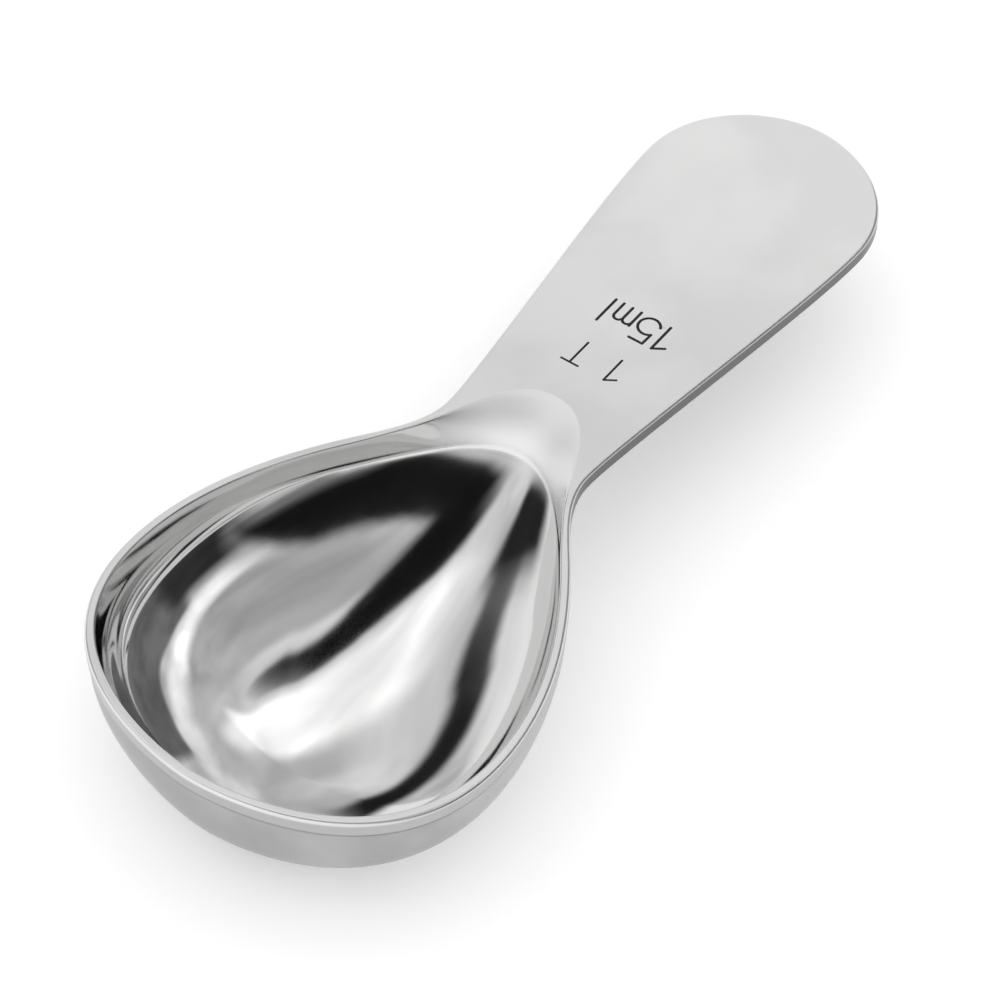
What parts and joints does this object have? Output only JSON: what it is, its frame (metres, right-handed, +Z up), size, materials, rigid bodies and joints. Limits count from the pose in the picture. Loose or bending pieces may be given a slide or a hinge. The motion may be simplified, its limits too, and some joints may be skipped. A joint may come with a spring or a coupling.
{
  "type": "measuring spoon",
  "caption": "Flat-handled steel measuring spoon with a pear-shaped bowl that ramps up to the neck, marked with its capacity on the handle.",
  "frame": {"origin": "on the flat underside of the bowl, in the middle plane, below the bowl's deepest point", "axes": "+X along the handle towards its end, +Z up out of the bowl's mouth, +Y to the left seen from the bowl's front"},
  "size_m": [0.1044, 0.0442, 0.0148],
  "materials": {
    "steel": "satin handle, polished bowl",
    "mark_fill": "matt dark fill"
  },
  "bodies": {
    "root": {"pressed_spoon": "steel", "tablespoon_mark_fill": "mark_fill", "millilitre_mark_fill": "mark_fill"}
  },
  "joints": []
}
